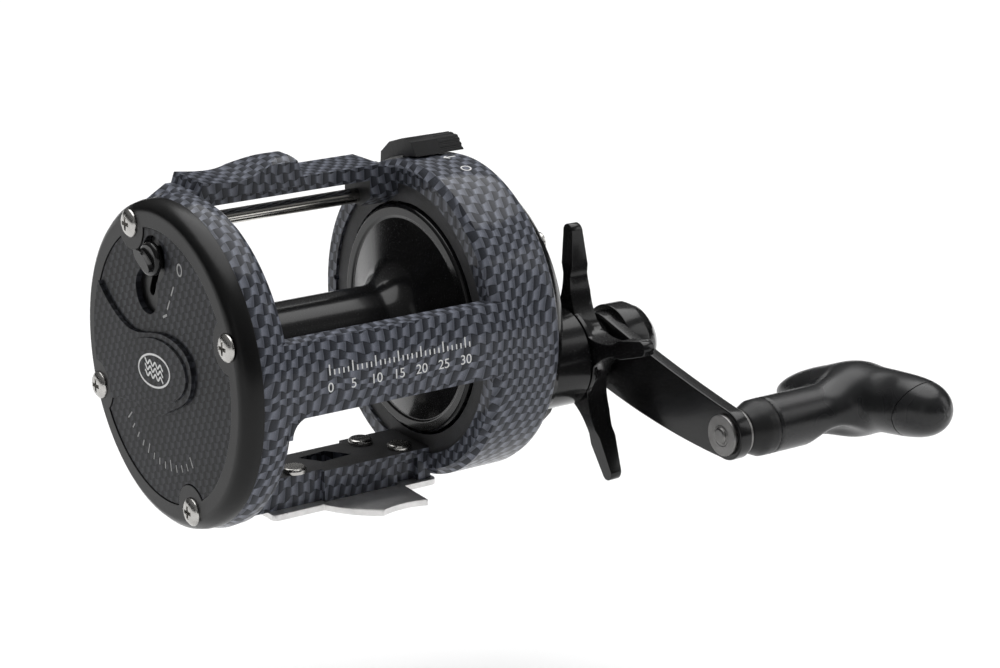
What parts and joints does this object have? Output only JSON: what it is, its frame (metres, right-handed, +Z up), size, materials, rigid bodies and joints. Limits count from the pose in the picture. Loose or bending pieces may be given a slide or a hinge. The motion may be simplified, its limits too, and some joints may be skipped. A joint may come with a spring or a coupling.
{
  "type": "trolling reel",
  "caption": "Conventional trolling reel with an open ring frame, flanged spool, star drag, free-spool lever, click button and a crank handle with a T-shaped grip.",
  "frame": {"origin": "centre of the underside of the reel foot", "axes": "+X along the spool axis towards the handle, +Y forward (the way the line leaves), +Z up, away from the rod"},
  "size_m": [0.1357, 0.113, 0.0693],
  "materials": {
    "carbon_print": "small-checked carbon-weave print under a glossy clear coat",
    "cover_print": "fine carbon-weave print on the tail cover, glossy",
    "black_gloss": "deep glossy black plastic or paint",
    "black_satin": "black moulded plastic with a satin surface",
    "grip_rubber": "soft dark grey moulded rubber, satin",
    "stainless": "polished stainless steel with fine scratches",
    "steel": "machined steel, lightly oiled",
    "brass": "machined brass",
    "drag_fibre": "woven carbon-fibre drag disc",
    "spring_steel": "tempered spring steel"
  },
  "bodies": {
    "frame": {"frame": "carbon_print", "foot_plate": "stainless", "foot_rivets": "stainless", "cross_rod": "stainless", "tail_plate": "black_gloss", "tail_cover": "cover_print", "tail_plate_screws": "stainless", "click_spring": "spring_steel", "tail_bearing_outer": "steel", "tail_bearing_balls": "steel", "head_bearing_outer": "steel", "head_bearing_balls": "steel", "side_plate": "carbon_print", "head_plate": "black_satin", "head_plate_screws": "stainless", "gear_cover": "black_gloss", "gear_cover_screws": "stainless", "boss_bush": "brass", "yoke_posts": "steel", "yoke_springs": "spring_steel", "dog_screw": "steel"},
    "spool": {"spool": "black_gloss", "spool_shaft": "steel", "click_ratchet": "black_satin", "tail_bearing_inner": "steel", "head_bearing_inner": "steel"},
    "click": {"click_button": "black_gloss", "click_tongue": "black_satin"},
    "handle": {"gear_shaft": "steel", "main_gear": "brass", "anti_reverse_ratchet": "steel", "drag_fibre_washers": "drag_fibre", "drag_keyed_washers": "steel", "drag_spring_washers": "spring_steel", "drag_sleeve": "brass", "handle_arm": "black_gloss", "handle_nut": "black_gloss", "grip_post": "stainless", "grip_washers": "stainless"},
    "star": {"star_wheel": "black_gloss"},
    "grip": {"grip_collar": "black_satin", "grip_body": "grip_rubber", "grip_cap_upper": "grip_rubber", "grip_cap_lower": "grip_rubber"},
    "lever": {"free_spool_lever": "black_satin"},
    "yoke": {"yoke": "black_satin"},
    "pinion": {"pinion": "brass"},
    "dog": {"anti_reverse_dog": "steel"},
    "tension_cap": {"tension_cap": "black_satin"}
  },
  "joints": [
    {"name": "handle_turn", "type": "hinge", "parent": "frame", "child": "handle", "pos_m": [0.0495, -0.01291, 0.02392], "axis": [1, 0, 0], "continuous": true},
    {"name": "spool_spin", "type": "hinge", "parent": "frame", "child": "spool", "pos_m": [-0.0055, 0, 0.0333], "axis": [1, 0, 0], "continuous": true},
    {"name": "lever_press", "type": "hinge", "parent": "frame", "child": "lever", "pos_m": [0.0251, 0, 0.0333], "axis": [-1, 0, 0], "range_deg": [0, 25], "deforming": ["yoke_springs"]},
    {"name": "yoke_slide", "type": "slide", "parent": "frame", "child": "yoke", "axis": [1, 0, 0], "range_m": [0, 0.0025]},
    {"name": "pinion_slide", "type": "slide", "parent": "spool", "child": "pinion", "axis": [1, 0, 0], "range_m": [0, 0.0025]},
    {"name": "star_turn", "type": "hinge", "parent": "handle", "child": "star", "pos_m": [0.0495, -0.01291, 0.02392], "axis": [1, 0, 0], "range_deg": [-120, 240]},
    {"name": "grip_spin", "type": "hinge", "parent": "handle", "child": "grip", "pos_m": [0.0615, -0.0545, 0.01674], "axis": [1, 0, 0], "continuous": true},
    {"name": "click_slide", "type": "slide", "parent": "frame", "child": "click", "axis": [0, 0.427, -0.9042], "range_m": [0, 0.00796]},
    {"name": "dog_pivot", "type": "hinge", "parent": "frame", "child": "dog", "pos_m": [0.0267, -0.01253, 0.00857], "axis": [1, 0, 0], "range_deg": [-8.5, 0]},
    {"name": "tension_cap_turn", "type": "hinge", "parent": "frame", "child": "tension_cap", "pos_m": [0.0405, 0, 0.0333], "axis": [1, 0, 0], "range_deg": [-90, 90]}
  ],
  "couplings": [
    {"joint": "spool_spin", "follows": "handle_turn", "ratio": -3.8},
    {"joint": "pinion_slide", "follows": "lever_press", "m_per_rad": 0.0057296},
    {"joint": "yoke_slide", "follows": "lever_press", "m_per_rad": 0.0057296}
  ]
}
